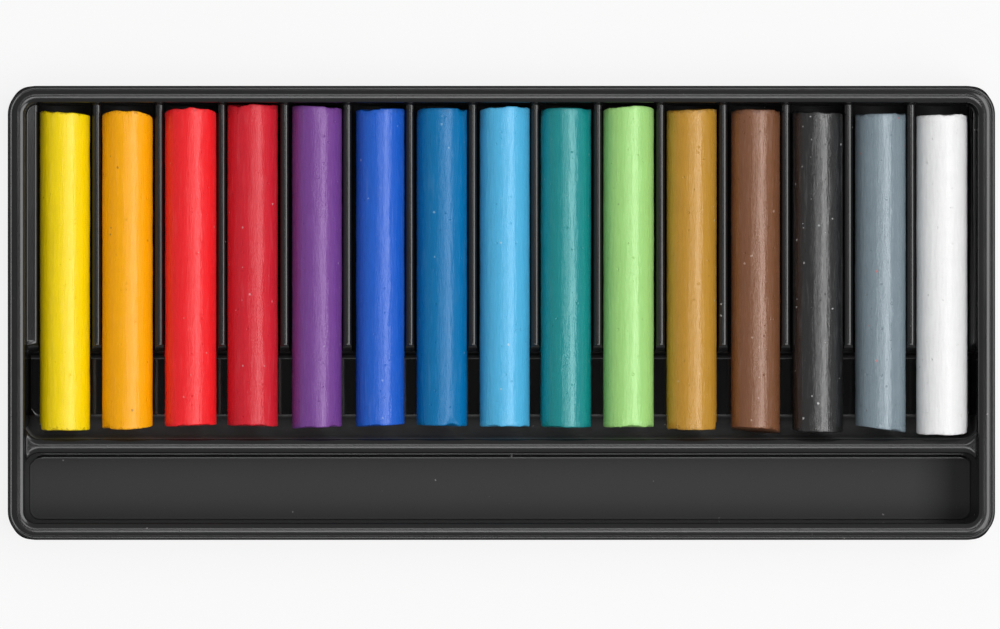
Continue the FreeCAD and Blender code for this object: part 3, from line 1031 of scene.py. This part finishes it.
def stick_material(stick, base_colour, groups):
    """Waxy pastel: mottled colour, a streaky skin, pinholes, foreign specks and dirty, chalky ends."""
    material, nodes, shader, place = new_material("Pastel " + stick.name.replace("_", " "))
    low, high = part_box("pastel_" + stick.name)
    axes = nodes.add("ShaderNodeSeparateXYZ", {"Vector": place}).outputs
    mottle = nodes.noise(place, *mottle_pattern)
    grain = nodes.noise(place, *grain_pattern)
    streaks = nodes.group(groups["Streaks"], Vector=place, **fine_streaks)
    skin = nodes.group(groups["Streaks"], Vector=place, **broad_streaks)
    specks = nodes.group(groups["Specks"], Vector=place, Share=stick.speck_share, **crumbs)
    pits = nodes.group(groups["Specks"], Vector=place, **pinholes)
    far = nodes.remap(axes["Y"], high.y - dirty_reach, high.y)
    near = nodes.remap(axes["Y"], low.y + dirty_reach, low.y)
    end = nodes.math("MAXIMUM", far, near)
    smudge = nodes.noise(place, *end_pattern)
    dirt = nodes.remap(nodes.plus(smudge, end, end_dirt_share), *dirt_range, 0, stick.dirt_share)
    pale = [channel + (1 - channel) * pale_share for channel in base_colour]
    mottled = shade(base_colour, 1 - mottle_share * stick.gloss_share)
    base = nodes.blend(nodes.remap(mottle, *mottle_range), mottled, base_colour)
    base = nodes.blend(nodes.remap(grain, *grain_range, 0, grain_share), base, shade(base_colour, deep_share))
    base = nodes.blend(nodes.remap(streaks, *streak_range, 0, streak_share * stick.gloss_share), base, pale)
    base = nodes.blend(nodes.math("MULTIPLY", specks, crumb_share), base, stick.specks)
    base = nodes.blend(dirt, base, shade(base_colour, dirt_shade_share))
    rough = nodes.remap(streaks, 0, 1, *streak_roughness)
    rough = nodes.math("ADD", rough, nodes.remap(skin, 0, 1, *skin_roughness))
    rough = nodes.plus(rough, end, chalky_roughness)
    soft = ((mottle, mottle_height), (streaks, streak_height))
    fine = ((grain, grain_height), (pits, pinhole_height))
    feed(nodes, shader, Base_Color=base, Roughness=rough, Normal=bump(nodes, soft + fine))
    strongest = max(base_colour)
    tint = [plain_shine_share + (1 - plain_shine_share) * channel / strongest for channel in base_colour]
    shader.inputs["IOR"].default_value = wax_ior
    shader.inputs["Specular IOR Level"].default_value = stick.shine_share
    shader.inputs["Specular Tint"].default_value = (*tint, 1)
    return material


def floor_material(colours, glow):
    """A plain pale floor, faintly lit from below."""
    material, nodes, shader, place = new_material("Floor")
    grain = nodes.noise(place, *floor_pattern)
    darker = shade(colours.floor, floor_shade_share)
    feed(nodes, shader, Base_Color=nodes.blend(nodes.remap(grain, *noise_range), darker, colours.floor))
    shader.inputs["Roughness"].default_value = floor_roughness
    shader.inputs["Specular IOR Level"].default_value = 0
    shader.inputs["Emission Color"].default_value = (1, 1, 1, 1)
    shader.inputs["Emission Strength"].default_value = glow
    return material


floor_shade_share = 0.98
floor_roughness = 0.9


def dress(piece, material, node):
    """Gives a finished piece its material, its body, the CAD node it stands for and its slot."""
    piece.data.materials.clear()
    piece.data.materials.append(material)
    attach(piece, node)
    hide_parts(node)


def shared_groups():
    """The effects that the materials share, each made once."""
    makers = {"Specks": specks_group, "Streaks": streaks_group}
    return {name: bpy.data.node_groups.get(name) or maker() for name, maker in makers.items()}


# Stage


# The soft lights: place, width and depth, in metres
Lamp = namedtuple("Lamp", "name place width depth")
lamps = [
    Lamp("key_light", (0.76, 0, 1.286), 0.64, 1.73),
    Lamp("front_light", (0, -0.29, 1.4), 0.48, 0.30),
    Lamp("back_light", (0, 0.205, 1.4), 0.48, 0.17),
]
# The brightness of the sky straight below, at some heights between, and straight above
sky_below = 0.02
sky_steps = ((0.02, 1), (0.955, 1), (0.985, 0.1))
sky_above = 0.1
# The camera's place, beside and behind the tray's middle
camera_x = -0.00031
camera_y = -0.00035


def add_light(lamp, level):
    """A rectangular soft light that faces the origin, hidden from the camera."""
    x, y, z = lamp.place
    turn = (math.atan2(-y, z), math.atan2(x, z), 0)
    bpy.ops.object.light_add(type="AREA", location=lamp.place, rotation=turn)
    light = bpy.context.active_object
    light.name = lamp.name
    light.data.shape = "RECTANGLE"
    light.data.size = lamp.width
    light.data.size_y = lamp.depth
    light.data.energy = math.pi * lamp.width * lamp.depth * level
    light.visible_camera = False


def make_world(level):
    """Light from all round, dim from below and from straight above."""
    world = bpy.data.worlds.new("Studio")
    bpy.context.scene.world = world
    world.use_nodes = True
    nodes = Nodes(world.node_tree)
    direction = nodes.add("ShaderNodeTexCoord").outputs["Generated"]
    rise = nodes.add("ShaderNodeSeparateXYZ", {"Vector": direction}).outputs["Z"]
    sky = nodes.add("ShaderNodeValToRGB", {"Fac": rise})
    ramp = sky.color_ramp
    ramp.elements[0].color = (sky_below, sky_below, sky_below, 1)
    ramp.elements[1].color = (sky_above, sky_above, sky_above, 1)
    for place, brightness in sky_steps:
        ramp.elements.new(place).color = (brightness, brightness, brightness, 1)
    background = nodes.add("ShaderNodeBackground", {"Color": sky.outputs["Color"], "Strength": level})
    nodes.add("ShaderNodeOutputWorld", {"Surface": background.outputs[0]})


# Operators and panel


class BuildTray(bpy.types.Operator):
    """Builds the drawn tray"""

    bl_idname = "object.build_stick_tray"
    bl_label = "Build tray"

    def execute(self, context):
        sizes = context.scene.tray_sizes
        layout = Layout(sizes)
        tray = make_tray(layout, sizes)
        tray.name = "tray_shell"
        material = plastic_material(context.scene.tray_colours, layout, sizes, shared_groups())
        dress(tray, material, "tray")
        return {"FINISHED"}


class BuildSticks(bpy.types.Operator):
    """Builds the row of pastel sticks"""

    bl_idname = "object.build_pastel_sticks"
    bl_label = "Build sticks"

    def execute(self, context):
        sizes = context.scene.stick_sizes
        groups = shared_groups()
        blank = make_blank(sizes)
        for stick in sticks:
            node = "pastel_" + stick.name
            base_colour = list(getattr(context.scene.stick_colours, stick.name))
            piece = make_stick(blank, stick, sizes)
            dress(piece, stick_material(stick, base_colour, groups), node)
        bpy.data.objects.remove(blank)
        return {"FINISHED"}


class BuildStage(bpy.types.Operator):
    """Builds the floor, the lights and the camera"""

    bl_idname = "scene.build_tray_stage"
    bl_label = "Build stage"

    def execute(self, context):
        settings = context.scene.stage_settings
        floor = add("floor", bpy.ops.mesh.primitive_plane_add, size=settings.floor_size)
        floor.data.materials.append(floor_material(context.scene.tray_colours, settings.floor_glow))
        floor.visible_glossy = False
        make_world(settings.sky_light)
        for lamp in lamps:
            add_light(lamp, getattr(settings, lamp.name))
        place = (camera_x, camera_y, settings.camera_level + settings.camera_height)
        bpy.ops.object.camera_add(location=place, rotation=(0, 0, 0))
        camera = context.active_object
        camera.data.lens = camera.data.sensor_width * settings.camera_height / settings.view_width
        context.scene.camera = camera
        context.scene.view_settings.view_transform = "Standard"
        return {"FINISHED"}


class StickTrayPanel(bpy.types.Panel):
    """Lists the pieces and their settings"""

    bl_idname = "VIEW3D_PT_stick_tray"
    bl_label = "Pastel Tray"
    bl_space_type = "VIEW_3D"
    bl_region_type = "UI"
    bl_category = "Pastel Tray"

    def draw(self, context):
        column = self.layout.column()
        for operator in operators:
            column.operator(operator.bl_idname)
        for name, group in property_groups.items():
            box = self.layout.box()
            box.label(text=name.replace("_", " ").capitalize())
            for key in group.__annotations__:
                box.prop(getattr(context.scene, name), key)


property_groups = {
    "tray_sizes": TraySizes,
    "stick_sizes": StickSizes,
    "tray_colours": TrayColours,
    "stick_colours": StickColours,
    "stage_settings": StageSettings,
}
operators = (BuildTray, BuildSticks, BuildStage)


def register():
    for name, group in property_groups.items():
        bpy.utils.register_class(group)
        setattr(bpy.types.Scene, name, bpy.props.PointerProperty(type=group))
    for kind in (*operators, StickTrayPanel):
        bpy.utils.register_class(kind)


def unregister():
    for kind in (StickTrayPanel, *operators):
        bpy.utils.unregister_class(kind)
    for name, group in property_groups.items():
        delattr(bpy.types.Scene, name)
        bpy.utils.unregister_class(group)


def main():
    register()
    bpy.ops.object.build_stick_tray()
    bpy.ops.object.build_pastel_sticks()
    bpy.ops.scene.build_tray_stage()


if __name__ == "__main__":
    main()
